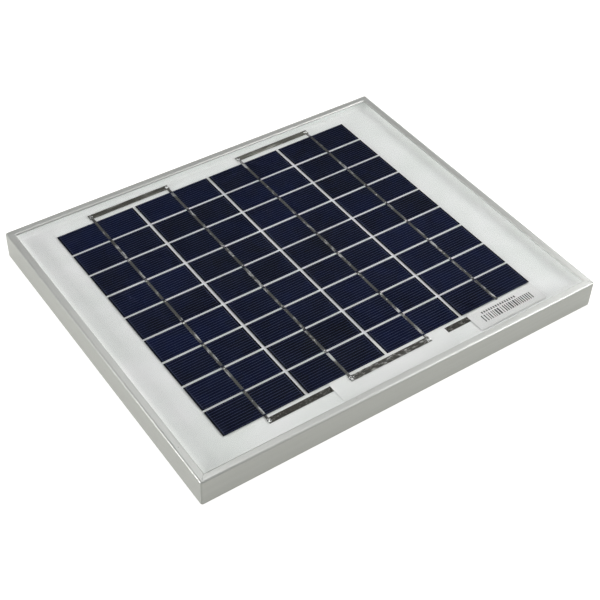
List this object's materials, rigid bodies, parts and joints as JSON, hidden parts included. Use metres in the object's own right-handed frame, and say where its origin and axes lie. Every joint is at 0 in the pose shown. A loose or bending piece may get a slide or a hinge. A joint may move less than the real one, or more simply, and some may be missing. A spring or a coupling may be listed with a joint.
{
  "type": "framed solar panel",
  "caption": "Small framed photovoltaic panel: series-wired silicon cells under glass in a mitred aluminium frame, with a hinged-lid junction box behind.",
  "frame": {"origin": "centre of the frame's bottom face, which the panel rests on or is mounted by", "axes": "+X along the long rails, +Y from the near rail with the code label towards the far rail, +Z out through the glass"},
  "size_m": [0.27, 0.226, 0.018],
  "materials": {
    "frame_aluminium": "satin anodised",
    "key_aluminium": "mill finish",
    "seal_silicone": "matte",
    "clear_glass": "low-iron tempered",
    "clear_film": "clear laminated film",
    "silicon_cell": "polycrystalline, blue-black antireflection coat",
    "tinned_copper": "dull tinned",
    "solder": "bright",
    "insulation_film": "matte white",
    "label_film": "matte white, printed with plain bars",
    "rating_film": "satin silver-grey label",
    "backsheet_white": "satin white film",
    "box_plastic": "moulded, fine texture",
    "black_rubber": "matte",
    "pin_steel": "plain",
    "terminal_brass": "stamped",
    "screw_zinc": "zinc plated",
    "diode_epoxy": "matte epoxy"
  },
  "bodies": {
    "panel": {"rail_near": "frame_aluminium", "rail_far": "frame_aluminium", "rail_left": "frame_aluminium", "rail_right": "frame_aluminium", "corner_key_near_left": "key_aluminium", "corner_key_near_right": "key_aluminium", "corner_key_far_left": "key_aluminium", "corner_key_far_right": "key_aluminium", "edge_seal": "seal_silicone", "front_glass": "clear_glass", "front_encapsulant": "clear_film", "cell_string_1": "silicon_cell", "cell_string_2": "silicon_cell", "cell_string_3": "silicon_cell", "cell_string_4": "silicon_cell", "tab_string_1": "tinned_copper", "tab_string_2": "tinned_copper", "tab_string_3": "tinned_copper", "tab_string_4": "tinned_copper", "far_bus_left": "tinned_copper", "far_bus_right": "tinned_copper", "near_bus": "tinned_copper", "exit_ribbon_left": "tinned_copper", "exit_ribbon_right": "tinned_copper", "solder_joints": "solder", "insulation_strip": "insulation_film", "code_label": "label_film", "rear_encapsulant": "clear_film", "backsheet": "backsheet_white", "rating_label": "rating_film", "jbox_adhesive": "seal_silicone", "jbox_base": "box_plastic", "lid_hinge_pin": "pin_steel", "terminal_left": "terminal_brass", "terminal_right": "terminal_brass", "terminal_screws": "screw_zinc", "bypass_diode": "diode_epoxy", "cable_grommet": "black_rubber"},
    "box_lid": {"jbox_lid": "box_plastic", "jbox_gasket": "black_rubber"}
  },
  "joints": [
    {"name": "lid_hinge", "type": "hinge", "parent": "panel", "child": "box_lid", "pos_m": [-0.0019, -0.0918, 0.0029], "axis": [-1, 0, 0], "range_deg": [0, 100]}
  ]
}
